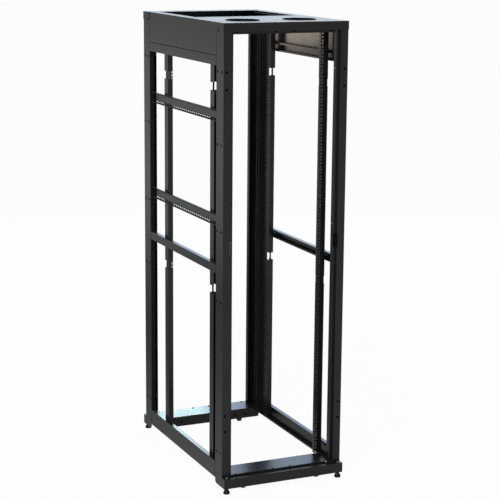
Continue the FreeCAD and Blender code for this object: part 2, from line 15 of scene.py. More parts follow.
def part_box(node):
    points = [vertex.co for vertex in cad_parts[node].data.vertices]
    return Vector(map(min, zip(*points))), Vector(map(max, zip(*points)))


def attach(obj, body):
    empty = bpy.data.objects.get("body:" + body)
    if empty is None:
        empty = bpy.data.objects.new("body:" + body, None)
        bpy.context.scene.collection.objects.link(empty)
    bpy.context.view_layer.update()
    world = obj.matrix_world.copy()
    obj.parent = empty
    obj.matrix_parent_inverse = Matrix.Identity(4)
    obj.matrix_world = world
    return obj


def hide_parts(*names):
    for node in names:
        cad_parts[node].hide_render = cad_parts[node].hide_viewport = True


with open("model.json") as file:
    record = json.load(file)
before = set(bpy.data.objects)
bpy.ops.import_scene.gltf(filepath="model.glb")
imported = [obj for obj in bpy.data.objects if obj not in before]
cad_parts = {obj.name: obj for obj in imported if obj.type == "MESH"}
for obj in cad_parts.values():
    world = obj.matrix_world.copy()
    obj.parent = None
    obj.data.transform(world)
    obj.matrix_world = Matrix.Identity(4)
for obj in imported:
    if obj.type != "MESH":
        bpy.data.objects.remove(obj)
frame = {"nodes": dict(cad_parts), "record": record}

LOG = logging.getLogger("rack")
FRAME_BODY = "frame"
SHARP_ANGLE = math.radians(35)
MERGE_DISTANCE = 1e-6
UP = Vector((0, 0, 1))
DOWN = Vector((0, 0, -1))
Colour = tuple[float, float, float]
Point = tuple[float, float, float]
Range = tuple[float, float]
Outline = Sequence[tuple[float, float]]
Sizes = dict[str, float]
Term = Union["Socket", float]


class Slot(Enum):
    """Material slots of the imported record."""

    COAT = "black_coat"
    RUBBER = "black_rubber"
    ZINC = "zinc_steel"
    WHEEL = "wheel_plastic"


class End(Enum):
    """Front or rear of the rack, with the sign of Y there."""

    FRONT = -1
    REAR = 1


class Side(Enum):
    """Left or right of the rack, with the sign of X there."""

    LEFT = -1
    RIGHT = 1


@dataclass(frozen=True)
class Corner:
    """One corner of the rack."""

    end: End
    side: Side

    @property
    def name(self) -> str:
        """The corner's words as node names use them."""
        return f"{self.end.name.lower()}_{self.side.name.lower()}"

    def place(self, x: float, y: float, z: float) -> Vector:
        """A point given for the positive quarter, moved to this corner."""
        return Vector((self.side.value * x, self.end.value * y, z))


CORNERS = [Corner(end, side) for end in End for side in Side]


class Socket:
    """An output socket whose Python arithmetic adds Math nodes to its tree."""

    def __init__(self, tree: "Tree", link: bpy.types.NodeSocket) -> None:
        """Keep the tree and the socket."""
        self.tree = tree
        self.link = link

    def math(self, operation: str, *terms: Term) -> "Socket":
        """Add one Math node with one or two values or links."""
        inputs = dict(zip(("Value", "Value_001"), terms))
        return self.tree.node("ShaderNodeMath", {"operation": operation}, inputs)["Value"]

    def __add__(self, other: Term) -> "Socket":
        """Add a value or socket."""
        return self.math("ADD", self, other)

    def __sub__(self, other: Term) -> "Socket":
        """Take a value or socket away."""
        return self.math("SUBTRACT", self, other)

    def __rsub__(self, other: Term) -> "Socket":
        """Take this socket away from a value."""
        return self.math("SUBTRACT", other, self)

    def __mul__(self, other: Term) -> "Socket":
        """Multiply by a value or socket."""
        return self.math("MULTIPLY", self, other)

    def __truediv__(self, other: Term) -> "Socket":
        """Divide by a value or socket."""
        return self.math("DIVIDE", self, other)

    __radd__ = __add__
    __rmul__ = __mul__

    def ramp(self, low: float, high: float) -> "Socket":
        """Map the range from low to high smoothly onto 0 to 1."""
        inputs = {"Value": self, "From Min": low, "From Max": high}
        return self.tree.node("ShaderNodeMapRange", {"interpolation_type": "SMOOTHSTEP"}, inputs)["Result"]


class Made:
    """A node that was added, whose outputs are read by name."""

    def __init__(self, tree: "Tree", node: bpy.types.Node) -> None:
        """Keep the tree and the node."""
        self.tree = tree
        self.node = node

    def __getitem__(self, name: str) -> Socket:
        """The enabled output with this name."""
        return Socket(self.tree, next(s for s in self.node.outputs if s.name == name and s.enabled))


class Tree:
    """A shader or geometry node tree that is filled one node at a time."""

    def __init__(self, nodes: bpy.types.NodeTree) -> None:
        """Start from an empty tree."""
        self.tree = nodes
        self.tree.nodes.clear()

    def node(self, kind: str, settings: Optional[dict] = None, inputs: Optional[dict] = None) -> Made:
        """Add a node.

        Args:
            kind: The node's type.
            settings: Properties that are set first.
            inputs: Values, sockets or lists of sockets by input name or identifier.

        Returns:
            The node, for reading its outputs.
        """
        node = self.tree.nodes.new(kind)
        for name, value in (settings or {}).items():
            setattr(node, name, value)
        for name, value in (inputs or {}).items():
            target = next(s for s in node.inputs if s.enabled and name in (s.identifier, s.name))
            for one in value if isinstance(value, list) else [value]:
                if isinstance(one, Socket):
                    self.tree.links.new(one.link, target)
                else:
                    target.default_value = one
        return Made(self, node)

    def vector(self, **parts: Term) -> Socket:
        """Join values for X, Y and Z to a vector."""
        return self.node("ShaderNodeCombineXYZ", None, parts)["Vector"]

    def mix(self, factor: Term, first: Union[Socket, Colour], second: Union[Socket, Colour]) -> Socket:
        """Blend two colours.

        Args:
            factor: The share of the second colour.
            first: The colour at 0.
            second: The colour at 1.

        Returns:
            The blended colour.
        """
        ends = [c if isinstance(c, Socket) else (*c, 1.0) for c in (first, second)]
        inputs = dict(zip("AB", ends), Factor=factor)
        return self.node("ShaderNodeMix", {"data_type": "RGBA"}, inputs)["Result"]


class Skin(Tree):
    """A material's tree, with its object coordinates in metres."""

    bevel_samples = 6
    edge_range = (0.02, 0.25)
    noise_middle = 0.5

    def __init__(self, material: bpy.types.Material) -> None:
        """Start the material's tree.

        Args:
            material: The material, whose nodes are made anew.
        """
        material.use_nodes = True
        super().__init__(material.node_tree)
        self.where = self.node("ShaderNodeTexCoord")["Object"]

    def noise(self, scale: float, detail: float, where: Optional[Socket] = None) -> Socket:
        """Add noise around its middle, by its features to a metre, finer octaves and other coordinates."""
        inputs = {"Vector": where or self.where, "Scale": scale, "Detail": detail}
        return self.node("ShaderNodeTexNoise", {"noise_dimensions": "3D"}, inputs)["Fac"]

    def edges(self, radius: float) -> tuple[Socket, Socket]:
        """Find the folded and cut edges of a piece.

        Args:
            radius: How far the rounding reaches from an edge.

        Returns:
            The rounded normal, and a mask that is 1 at the sharpest edges.
        """
        settings = {"samples": self.bevel_samples}
        rounded = self.node("ShaderNodeBevel", settings, {"Radius": radius})["Normal"]
        flat = self.node("ShaderNodeNewGeometry")["True Normal"]
        inputs = {"Vector": rounded, "Vector_001": flat}
        same = self.node("ShaderNodeVectorMath", {"operation": "DOT_PRODUCT"}, inputs)["Value"]
        return rounded, (1 - same).ramp(*self.edge_range)

    def bump(self, height: Socket, depth: float, strength: float, **normal: Socket) -> Socket:
        """Add a bump, over another Normal where one is given."""
        inputs = {"Height": height, "Distance": depth, "Strength": strength, **normal}
        return self.node("ShaderNodeBump", None, inputs)["Normal"]

    def surface(self, inputs: dict[str, Term]) -> Socket:
        """Add the surface shader."""
        return self.node("ShaderNodeBsdfPrincipled", None, inputs)["BSDF"]


class Finish:
    """Base of every finish: makes its material once and hands it out."""

    def material(self) -> bpy.types.Material:
        """Look the finish's material up, or make it on first use.

        Returns:
            The material.
        """
        name = type(self).__name__
        made = bpy.data.materials.get(name)
        if made is None:
            made = bpy.data.materials.new(name)
            skin = Skin(made)
            skin.node("ShaderNodeOutputMaterial", None, {"Surface": self.shade(skin)})
        return made

    def shade(self, skin: Skin) -> Socket:
        """The surface shader, built in the material's tree; each finish has its own."""
        raise NotImplementedError


@dataclass(frozen=True)
class PowderCoat(Finish):
    """Satin black powder coat over sheet steel, a little thinner and lighter along its edges."""

    black: Colour = (0.0110, 0.0110, 0.0116)
    grey: Colour = (0.0145, 0.0145, 0.0152)
    rubbed: Colour = (0.030, 0.030, 0.032)
    gloss: float = 1.35
    roughness: float = 0.27
    spread: float = 0.12
    edge: float = 0.0010
    cloud_scale: float = 7.0
    cloud_range: Range = (0.3, 0.7)
    cloud_share: float = 0.6
    smudge_scale: float = 38.0
    smudge_range: Range = (0.45, 0.75)
    smudge_share: float = 0.4
    peel_scale: float = 900.0
    peel_depth: float = 0.00004
    peel_strength: float = 0.12

    def shade(self, skin: Skin) -> Socket:
        """Cloudy black, uneven gloss, fine orange peel and rubbed edges.

        Args:
            skin: The material's tree.

        Returns:
            The surface shader.
        """
        clouds = skin.noise(self.cloud_scale, detail=4.0)
        smudges = skin.noise(self.smudge_scale, detail=3.0)
        peel = skin.noise(self.peel_scale, detail=1.0)
        rounded, edge = skin.edges(self.edge)
        rub = edge * smudges.ramp(*self.smudge_range)
        coat = skin.mix(clouds.ramp(*self.cloud_range), self.black, self.grey)
        uneven = clouds * self.cloud_share + smudges * self.smudge_share - skin.noise_middle
        return skin.surface({
            "Base Color": skin.mix(rub, coat, self.rubbed),
            "Roughness": uneven * self.spread + self.roughness,
            "IOR": self.gloss,
            "Normal": skin.bump(peel, self.peel_depth, self.peel_strength, Normal=rounded),
        })


@dataclass(frozen=True)
class ZincPlate(Finish):
    """Bright zinc plating with a faint straw and blue bloom and drawn scratches."""

    blue: Colour = (0.30, 0.32, 0.35)
    straw: Colour = (0.35, 0.34, 0.31)
    dull: Colour = (0.18, 0.18, 0.18)
    roughness: float = 0.14
    edge: float = 0.0006
    dull_share: float = 0.6
    bloom_scale: float = 60.0
    bloom_range: Range = (0.35, 0.7)
    bloom_haze: float = 0.12
    drawn: Point = (1.0, 1.0, 14.0)
    scratch_scale: float = 260.0
    scratch_haze: float = 0.2
    scratch_depth: float = 0.00003
    scratch_strength: float = 0.2

    def shade(self, skin: Skin) -> Socket:
        """Bloom in the colour, scratches in the gloss, dull edges.

        Args:
            skin: The material's tree.

        Returns:
            The surface shader.
        """
        bloom = skin.noise(self.bloom_scale, detail=3.0)
        inputs = {"Vector": skin.where, "Scale": self.drawn}
        drawn = skin.node("ShaderNodeMapping", None, inputs)["Vector"]
        scratches = skin.noise(self.scratch_scale, detail=2.0, where=drawn)
        rounded, edge = skin.edges(self.edge)
        plate = skin.mix(bloom.ramp(*self.bloom_range), self.blue, self.straw)
        return skin.surface({
            "Base Color": skin.mix(edge * self.dull_share, plate, self.dull),
            "Metallic": 1.0,
            "Roughness": scratches * self.scratch_haze + bloom * self.bloom_haze + self.roughness,
            "Normal": skin.bump(scratches, self.scratch_depth, self.scratch_strength, Normal=rounded),
        })


@dataclass(frozen=True)
class MattBush(Finish):
    """Dead matt black with faint dust; used as it stands it is painted shade, the dark plugs in the sheet
    holes and the strips in the panel gaps.
    """

    black: Colour = (0.0035, 0.0035, 0.0037)
    dust: Colour = (0.0080, 0.0079, 0.0076)
    roughness: float = 0.75
    sheen: float = 0.06
    dust_scale: float = 300.0
    dust_detail: float = 3.0
    dust_range: Range = (0.5, 0.8)
    dust_haze: float = 0.1

    def shade(self, skin: Skin) -> Socket:
        """Faint dust over black.

        Args:
            skin: The material's tree.

        Returns:
            The surface shader.
        """
        dust = skin.noise(self.dust_scale, self.dust_detail).ramp(*self.dust_range)
        return skin.surface({
            "Base Color": skin.mix(dust, self.black, self.dust),
            "Roughness": dust * self.dust_haze + self.roughness,
            "Specular IOR Level": self.sheen,
            **self.grain(skin),
        })

    def grain(self, skin: Skin) -> dict[str, Socket]:
        """The inputs that a grained skin adds, here none."""
        return {}


@dataclass(frozen=True)
class PortRubber(MattBush):
    """Soft black edging with a matt, faintly dusty, finely grained skin."""

    black: Colour = (0.0050, 0.0050, 0.0052)
    dust: Colour = (0.0120, 0.0118, 0.0112)
    roughness: float = 0.62
    sheen: float = 0.12
    dust_scale: float = 55.0
    dust_detail: float = 4.0
    dust_haze: float = 0.2
    grain_scale: float = 1500.0
    grain_depth: float = 0.00005
    grain_strength: float = 0.3

    def grain(self, skin: Skin) -> dict[str, Socket]:
        """A fine bump over the whole skin."""
        grain = skin.noise(self.grain_scale, detail=1.0)
        return {"Normal": skin.bump(grain, self.grain_depth, self.grain_strength)}


@dataclass(frozen=True)
class PadPlastic(Finish):
    """Glossy black moulded pad under each foot, scuffed near the floor."""

    black: Colour = (0.008, 0.008, 0.009)
    scuff: Colour = (0.06, 0.058, 0.055)
    gloss: float = 1.30
    roughness: float = 0.18
    scuff_scale: float = 420.0
    scuff_height: float = 0.006
    scuff_range: Range = (0.52, 0.72)
    scuff_haze: float = 0.4

    def shade(self, skin: Skin) -> Socket:
        """Scuffs that fade with height over a clean gloss.

        Args:
            skin: The material's tree.

        Returns:
            The surface shader.
        """
        height = skin.node("ShaderNodeSeparateXYZ", None, {"Vector": skin.where})["Z"]
        low = 1 - height.ramp(0.0, self.scuff_height)
        marks = skin.noise(self.scuff_scale, detail=3.0).ramp(*self.scuff_range) * low
        return skin.surface({
            "Base Color": skin.mix(marks, self.black, self.scuff),
            "Roughness": marks * self.scuff_haze + self.roughness,
            "IOR": self.gloss,
        })


@dataclass(frozen=True)
class WheelNylon(Finish):
    """Dark moulded nylon with a worn, dusty tread."""

    body: Colour = (0.022, 0.022, 0.024)
    worn: Colour = (0.085, 0.082, 0.078)
    roughness: float = 0.42
    edge: float = 0.0010
    edge_share: float = 0.7
    cloud_scale: float = 120.0
    cloud_range: Range = (0.55, 0.8)
    cloud_share: float = 0.5
    grit_scale: float = 1100.0
    grit_range: Range = (0.35, 0.6)
    grit_depth: float = 0.00006
    grit_strength: float = 0.4
    worn_haze: float = 0.3

    def shade(self, skin: Skin) -> Socket:
        """Moulding clouds, rubbed edges and a pebbled skin.

        Args:
            skin: The material's tree.

        Returns:
            The surface shader.
        """
        clouds = skin.noise(self.cloud_scale, detail=4.0)
        grit = skin.noise(self.grit_scale, detail=2.0)
        rounded, edge = skin.edges(self.edge)
        rubbed = edge * self.edge_share + clouds.ramp(*self.cloud_range) * self.cloud_share
        worn = rubbed * grit.ramp(*self.grit_range)
        return skin.surface({
            "Base Color": skin.mix(worn, self.body, self.worn),
            "Roughness": worn * self.worn_haze + self.roughness,
            "Normal": skin.bump(grit, self.grit_depth, self.grit_strength, Normal=rounded),
        })


FINISHES = {
    Slot.COAT: PowderCoat(), Slot.RUBBER: PortRubber(), Slot.ZINC: ZincPlate(), Slot.WHEEL: WheelNylon(),
}


def dress(name: str, slot: Slot) -> None:
    """Give a solid that stays visible the finish of its slot.

    Args:
        name: The solid's node.
        slot: Its material slot.
    """
    materials = frame["nodes"][name].data.materials
    materials.clear()
    materials.append(FINISHES[slot].material())
    LOG.info("dressed %s in %s", name, slot.value)


def add_piece(mesh: bpy.types.Mesh, body: str, replaced: Sequence[str] = ()) -> None:
    """Put a finished mesh into the scene as a piece of the object.

    Args:
        mesh: The mesh, in the rack's own frame and already with its material.
        body: The body that the piece rides on.
        replaced: Nodes that this piece stands for.
    """
    piece = bpy.data.objects.new(mesh.name, mesh)
    bpy.context.scene.collection.objects.link(piece)
    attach(piece, body)
    if replaced:
        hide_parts(*replaced)
    LOG.info("piece %s: %d faces on %s", piece.name, len(mesh.polygons), body)


class Lathe:
    """Turned meshes: closed profiles of (radius, height) points spun about Z."""

    @staticmethod
    def spin(into: bmesh.types.BMesh, profile: Outline, segments: int, place: Matrix) -> None:
        """Add one turned solid.

        Args:
            into: The mesh that receives it.
            profile: (radius, height) points from the axis or bore around the outside, counter-clockwise.
            segments: Number of steps around.
            place: Where the turned axis goes.
        """
        rings = []
        for step in range(segments):
            turn = 2 * math.pi * step / segments
            ring = [place @ Vector((r * math.cos(turn), r * math.sin(turn), z)) for r, z in profile]
            rings.append([into.verts.new(co) for co in ring])
        made = []
        for step, ring in enumerate(rings):
            after = rings[(step + 1) % segments]
            for low in range(len(profile)):
                high = (low + 1) % len(profile)
                made.append(into.faces.new((ring[low], after[low], after[high], ring[high])))
        bmesh.ops.remove_doubles(into, verts=[v for ring in rings for v in ring], dist=MERGE_DISTANCE)
        for face in made:
            if face.is_valid:
                face.smooth = True

    @staticmethod
    def rounded(corners: Sequence[Point], steps: int = 4) -> Outline:
        """Round the corners of a closed profile.

        Args:
            corners: (radius, height, rounding) of each corner.
            steps: Points along each rounding, less one.

        Returns:
            The rounded (radius, height) points.
        """
        points = []
        for index, (r, z, rounding) in enumerate(corners):
            here = Vector((r, z))
            if rounding <= 0:
                points.append((r, z))
                continue
            before = (Vector(corners[index - 1][:2]) - here).normalized() * rounding + here
            after = (Vector(corners[(index + 1) % len(corners)][:2]) - here).normalized() * rounding + here
            for step in range(steps + 1):
                t = step / steps
                at = before * (1 - t) ** 2 + here * 2 * t * (1 - t) + after * t ** 2
                points.append((at.x, at.y))
        return points


def absorb(shape: bmesh.types.BMesh, mesh: bpy.types.Mesh) -> None:
    """Move a baked mesh into a work mesh."""
    shape.from_mesh(mesh)
    bpy.data.meshes.remove(mesh)


def mesh_from(shape: bmesh.types.BMesh, name: str, finish: Finish) -> bpy.types.Mesh:
    """Turn a work mesh into a finished one.

    Args:
        shape: The work mesh, which is freed.
        name: The piece's name.
        finish: The piece's finish.

    Returns:
        The finished mesh, its faces pointing outwards.
    """
    bmesh.ops.recalc_face_normals(shape, faces=shape.faces)
    mesh = bpy.data.meshes.new(name)
    shape.to_mesh(mesh)
    shape.free()
    mesh.materials.append(finish.material())
    mesh.set_sharp_from_angle(angle=SHARP_ANGLE)
    return mesh


def add_prism(into: bmesh.types.BMesh, outline: Outline, half: float) -> None:
    """Add a bar of constant section that runs along Y, the same to both sides of the middle.

    Args:
        into: The mesh that receives it.
        outline: Its closed (x, z) section.
        half: Half of its length.
    """
    ends = [[into.verts.new((x, y, z)) for x, z in outline] for y in (-half, half)]
    for index in range(len(outline)):
        into.faces.new((ends[0][index - 1], ends[0][index], ends[1][index], ends[1][index - 1]))
    for end in ends:
        into.faces.new(end)


@dataclass(frozen=True)
class Spot:
    """Where a repeated shape sits, and which way it faces."""

    at: Vector
    facing: Vector


class Pattern:
    """Base of the geometry node trees: a modifier's tree with named inputs, baked into a plain mesh."""

    name = "pattern"
    sizes: Sizes = {}

    def __init__(self) -> None:
        """Build the tree with its inputs and its closing nodes."""
        group = bpy.data.node_groups.new(self.name, "GeometryNodeTree")
        group.is_modifier = True
        self.tree = Tree(group)
        face = group.interface
        face.new_socket("Geometry", in_out="INPUT", socket_type="NodeSocketGeometry")
        kinds = {**dict.fromkeys(self.sizes, "NodeSocketFloat"), "Finish": "NodeSocketMaterial"}
        self.keys = {}
        for label, kind in kinds.items():
            self.keys[label] = face.new_socket(label, in_out="INPUT", socket_type=kind).identifier
        face.new_socket("Geometry", in_out="OUTPUT", socket_type="NodeSocketGeometry")
        self.given = self.tree.node("NodeGroupInput")
        real = self.tree.node("GeometryNodeRealizeInstances", None, {"Geometry": self.grow()})["Geometry"]
        inputs = {"Geometry": real, "Material": self["Finish"]}
        coated = self.tree.node("GeometryNodeSetMaterial", None, inputs)["Geometry"]
        self.tree.node("NodeGroupOutput", None, {"Geometry": coated})

    def __getitem__(self, label: str) -> Socket:
        """The tree's input with this label."""
        return self.given[label]

    def grow(self) -> Socket:
        """The shape before its instances are made real; each pattern has its own."""
        raise NotImplementedError

    def repeat(self, points: Socket, shape: Socket, **turn: Socket) -> Socket:
        """Put a shape on every point, turned where a Rotation is given."""
        inputs = {"Points": points, "Instance": shape, **turn}
        return self.tree.node("GeometryNodeInstanceOnPoints", None, inputs)["Instances"]

    def raised(self, shape: Socket, height: Socket) -> Socket:
        """Move a shape along Z."""
        inputs = {"Geometry": shape, "Translation": self.tree.vector(Z=height)}
        return self.tree.node("GeometryNodeTransform", None, inputs)["Geometry"]

    def on_spots(self, shape: Socket) -> Socket:
        """Put a shape on every spot, its Z axis turned to the spot's facing.

        Args:
            shape: The shape to repeat.

        Returns:
            The placed shapes.
        """
        named = {"data_type": "FLOAT_VECTOR"}
        facing = self.tree.node("GeometryNodeInputNamedAttribute", named, {"Name": "facing"})["Attribute"]
        inputs = {"Vector": facing}
        turn = self.tree.node("FunctionNodeAlignRotationToVector", {"axis": "Z"}, inputs)["Rotation"]
        return self.repeat(self["Geometry"], shape, Rotation=turn)

    def bake(self, spots: Sequence[Spot], name: str, finish: Finish,
             sizes: Optional[Sizes] = None) -> bpy.types.Mesh:
        """Run the tree on a seed mesh of loose points.

        Args:
            spots: The points, with the facing of each.
            name: Name of the baked mesh.
            finish: The finish of the result.
            sizes: Values that differ from the pattern's own, by input name.

        Returns:
            A plain mesh.
        """
        seed = bpy.data.meshes.new(name)
        seed.from_pydata([spot.at for spot in spots], [], [])
        facing = seed.attributes.new("facing", "FLOAT_VECTOR", "POINT")
        for index, spot in enumerate(spots):
            facing.data[index].vector = spot.facing
        carrier = bpy.data.objects.new(name, seed)
        bpy.context.scene.collection.objects.link(carrier)
        modifier = carrier.modifiers.new(self.name, "NODES")
        modifier.node_group = self.tree.tree
        for label, value in {**self.sizes, **(sizes or {}), "Finish": finish.material()}.items():
            modifier[self.keys[label]] = value
        grown = carrier.evaluated_get(bpy.context.evaluated_depsgraph_get())
        mesh = bpy.data.meshes.new_from_object(grown)
        carrier.modifiers.remove(modifier)
        bpy.data.objects.remove(carrier)
        bpy.data.meshes.remove(seed)
        mesh.name = name
        return mesh


class HexBolts(Pattern):
    """Hexagon heads on flat washers, one at each spot."""

    name = "hex_bolts"
    sizes = {"Head radius": 0.0058, "Head height": 0.004, "Washer radius": 0.0070, "Washer height": 0.0012}
    head_sides = 6
    washer_sides = 24

    def grow(self) -> Socket:
        """Stack head and washer.

        Returns:
            The placed bolts.
        """
        thick, tall = self["Washer height"], self["Head height"]
        washer = self.drum(self.washer_sides, self["Washer radius"], thick, thick * 0.5)
        head = self.drum(self.head_sides, self["Head radius"], tall, thick + tall * 0.5)
        bolt = self.tree.node("GeometryNodeJoinGeometry", None, {"Geometry": [washer, head]})["Geometry"]
        return self.on_spots(bolt)

    def drum(self, sides: int, radius: Socket, height: Socket, middle: Socket) -> Socket:
        """A short cylinder about Z, its middle at a given height."""
        inputs = {"Vertices": sides, "Radius": radius, "Depth": height}
        return self.raised(self.tree.node("GeometryNodeMeshCylinder", None, inputs)["Mesh"], middle)


class BlindInserts(Pattern):
    """Dark blind plugs in sheet holes, painted shade for the dark inside of the holes: a thin flange, a
    short tube and a closed bottom.
    """

    name = "blind_inserts"
    sizes = {"Radius": 0.0034, "Depth": 0.009, "Flange radius": 0.0062, "Proud": 0.0004}
    sides = 16

    def grow(self) -> Socket:
        """Join flange, tube and bottom, their mouth along the spot's facing.

        Returns:
            The placed plugs of painted shade.
        """
        tree, depth = self.tree, self["Depth"]
        ring = {"Vertices": self.sides, "Radius": self["Radius"]}
        tube = tree.node("GeometryNodeMeshCylinder", {"fill_type": "NONE"}, {**ring, "Depth": depth})["Mesh"]
        bottom = tree.node("GeometryNodeMeshCircle", {"fill_type": "NGON"}, ring)["Mesh"]
        inputs = {"Vertices": self.sides, "Radius Top": self["Flange radius"],
                  "Radius Bottom": self["Radius"], "Depth": self["Proud"]}
        parts = [tree.node("GeometryNodeMeshCone", {"fill_type": "NONE"}, inputs)["Mesh"]]
        for shape, share in ((tube, -0.5), (bottom, -1.0)):
            parts.append(self.raised(shape, depth * share))
        shade_plug = tree.node("GeometryNodeJoinGeometry", None, {"Geometry": parts})["Geometry"]
        return self.on_spots(shade_plug)


class ScrewThread(Pattern):
    """A rolled thread: a small round ridge along a spiral that starts at each spot."""

    name = "screw_thread"
    sizes = {"Radius": 0.0054, "Pitch": 0.00175, "Length": 0.040, "Ridge": 0.0006}
    turn_steps = 20
    ridge_sides = 5

    def grow(self) -> Socket:
        """Sweep the ridge along the spiral.

        Returns:
            The placed threads.
        """
        tree, radius, length = self.tree, self["Radius"], self["Length"]
        inputs = {"Resolution": self.turn_steps, "Rotations": length / self["Pitch"], "Start Radius": radius,
                  "End Radius": radius, "Height": length}
        spiral = tree.node("GeometryNodeCurveSpiral", None, inputs)["Curve"]
        inputs = {"Resolution": self.ridge_sides, "Radius": self["Ridge"]}
        ridge = tree.node("GeometryNodeCurvePrimitiveCircle", {"mode": "RADIUS"}, inputs)["Curve"]
        inputs = {"Curve": spiral, "Profile Curve": ridge, "Fill Caps": True}
        return self.repeat(self["Geometry"], tree.node("GeometryNodeCurveToMesh", None, inputs)["Mesh"])


class SlotRibs(Pattern):
    """Short flat bars that divide a long opening into slots, one at each spot."""

    name = "slot_ribs"
    sizes = {"Width": 0.0070, "Length": 0.0132, "Thickness": 0.0012}

    def grow(self) -> Socket:
        """A flat bar on every spot, its thickness along the spot's facing."""
        size = self.tree.vector(X=self["Width"], Y=self["Length"], Z=self["Thickness"])
        return self.on_spots(self.tree.node("GeometryNodeMeshCube", None, {"Size": size})["Mesh"])


class WheelRibs(Pattern):
    """Moulded ribs that stand around each wheel's hub, on both faces of its web."""

    name = "wheel_ribs"
    sizes = {"Inner radius": 0.0085, "Outer radius": 0.0185, "Width": 0.0016, "Thickness": 0.0140,
             "Count": 10.0}

    def grow(self) -> Socket:
        """Set a ring of flat bars about the X axis.

        Returns:
            The placed ribs.
        """
        tree, inner, outer = self.tree, self["Inner radius"], self["Outer radius"]
        size = tree.vector(X=self["Thickness"], Y=outer - inner, Z=self["Width"])
        bar = tree.node("GeometryNodeMeshCube", None, {"Size": size})["Mesh"]
        line = tree.node("GeometryNodeMeshLine", {"mode": "OFFSET"}, {"Count": self["Count"]})["Mesh"]
        number = tree.node("GeometryNodeInputIndex")["Index"]
        turn = number * (2 * math.pi) / self["Count"]
        middle = (inner + outer) * 0.5
        spot = tree.vector(Y=turn.math("COSINE", turn) * middle, Z=turn.math("SINE", turn) * middle)
        inputs = {"Geometry": line, "Position": spot}
        ring = tree.node("GeometryNodeSetPosition", None, inputs)["Geometry"]
        return self.repeat(self["Geometry"], self.repeat(ring, bar, Rotation=tree.vector(X=turn)))


@dataclass
class SheetFrame:
    """Everything folded from sheet steel, which keeps its own solids and gets the powder coat."""

    slot: Slot = Slot.COAT

    def build(self) -> None:
        """Coat each solid of the slot."""
        for entry in frame["record"]["subparts"]:
            if entry["material_slot"] == self.slot.value:
                dress(entry["node"], self.slot)


@dataclass
class CablePorts:
    """The two edging rings in the top cover."""

    bore: float = 0.069
    sleeve: float = 0.073
    sleeve_rounding: float = 0.0010
    proud: float = 0.003
    under_rounding: float = 0.0003
    bead: float = 0.0015
    segments: int = 96

    def build(self) -> None:
        """Turn a ring for each port, with a round bead on top and a sleeve below the cover."""
        for side in Side:
            word = side.name.lower()
            low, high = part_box(f"{word}_cable_grommet")
            middle = (low + high) / 2
            flange = (high.x - low.x) / 2
            cover_top = high.z - self.proud
            profile = Lathe.rounded([
                (self.bore, low.z, self.sleeve_rounding),
                (self.sleeve, low.z, self.sleeve_rounding),
                (self.sleeve, cover_top, 0.0),
                (flange, cover_top, self.under_rounding),
                (flange, high.z, self.bead),
                (self.bore, high.z, self.bead),
            ])
            ring = bmesh.new()
            Lathe.spin(ring, profile, self.segments, Matrix.Translation((middle.x, middle.y, 0)))
            mesh = mesh_from(ring, f"{word}_port_ring", FINISHES[Slot.RUBBER])
            add_piece(mesh, FRAME_BODY, [f"{word}_cable_grommet"])


@dataclass
class LevellingFeet:
    """Pads, necks, lock nuts and threaded studs at the four corners."""

    pad_radius: float = 0.0152
    pad_height: float = 0.009
    pad_foot: float = 0.0012
    pad_shoulder: float = 0.0030
    neck_radius: float = 0.008
    neck_low: float = 0.020
    neck_high: float = 0.030
    neck_foot: float = 0.0025
    neck_rim: float = 0.0010
    core_radius: float = 0.0054
    core_sunk: float = 0.004
    nut_radius: float = 0.0100
    nut_bite: float = 0.0004
    nut_low: float = 0.0615
    nut_high: float = 0.0705
    chamfer: float = 0.0012
    top: float = 0.079
    pad_segments: int = 48
    core_segments: int = 28
    nut_sides: int = 6
    thread: ScrewThread = field(default_factory=ScrewThread)

    def build(self) -> None:
        """Make a pad and a stud for each corner."""
        for corner in CORNERS:
            low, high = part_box(f"{corner.name}_levelling_foot")
            middle = Vector(((low.x + high.x) / 2, (low.y + high.y) / 2, 0))
            self.pad(corner, middle)
            self.stud(corner, middle)

    def pad(self, corner: Corner, middle: Vector) -> None:
        """Turn the moulded pad, which stands for the whole foot's solid.

        Args:
            corner: The foot's corner.
            middle: The foot's axis on the floor.
        """
        profile = Lathe.rounded([
            (0.0, 0.0, 0.0),
            (self.pad_radius, 0.0, self.pad_foot),
            (self.pad_radius, self.pad_height, self.pad_shoulder),
            (self.neck_radius, self.neck_low, self.neck_foot),
            (self.neck_radius, self.neck_high, self.neck_rim),
            (0.0, self.neck_high, 0.0),
        ], steps=5)
        shape = bmesh.new()
        Lathe.spin(shape, profile, self.pad_segments, Matrix.Translation(middle))
        mesh = mesh_from(shape, f"{corner.name}_foot_pad", PadPlastic())
        add_piece(mesh, FRAME_BODY, [f"{corner.name}_levelling_foot"])

    def stud(self, corner: Corner, middle: Vector) -> None:
        """Make the threaded stud with its lock nut.

        Args:
            corner: The foot's corner.
            middle: The foot's axis on the floor.
        """
        place = Matrix.Translation(middle)
        shape = bmesh.new()
        foot, bite = self.neck_high - self.core_sunk, self.core_radius - self.nut_bite
        core = Lathe.rounded([
            (0.0, foot, 0.0),
            (self.core_radius, foot, 0.0),
            (self.core_radius, self.top, self.chamfer),
            (0.0, self.top, 0.0),
        ])
        Lathe.spin(shape, core, self.core_segments, place)
        nut = Lathe.rounded([
            (bite, self.nut_low, 0.0),
            (self.nut_radius, self.nut_low, self.chamfer),
            (self.nut_radius, self.nut_high, self.chamfer),
            (bite, self.nut_high, 0.0),
        ], steps=2)
        Lathe.spin(shape, nut, self.nut_sides, place)
        start = Spot(middle + Vector((0, 0, self.neck_high)), UP)
        zinc = FINISHES[Slot.ZINC]
        length = self.top - self.neck_high - self.chamfer
        absorb(shape, self.thread.bake([start], "thread", zinc, {"Length": length}))
        add_piece(mesh_from(shape, f"{corner.name}_foot_stud", zinc), FRAME_BODY)


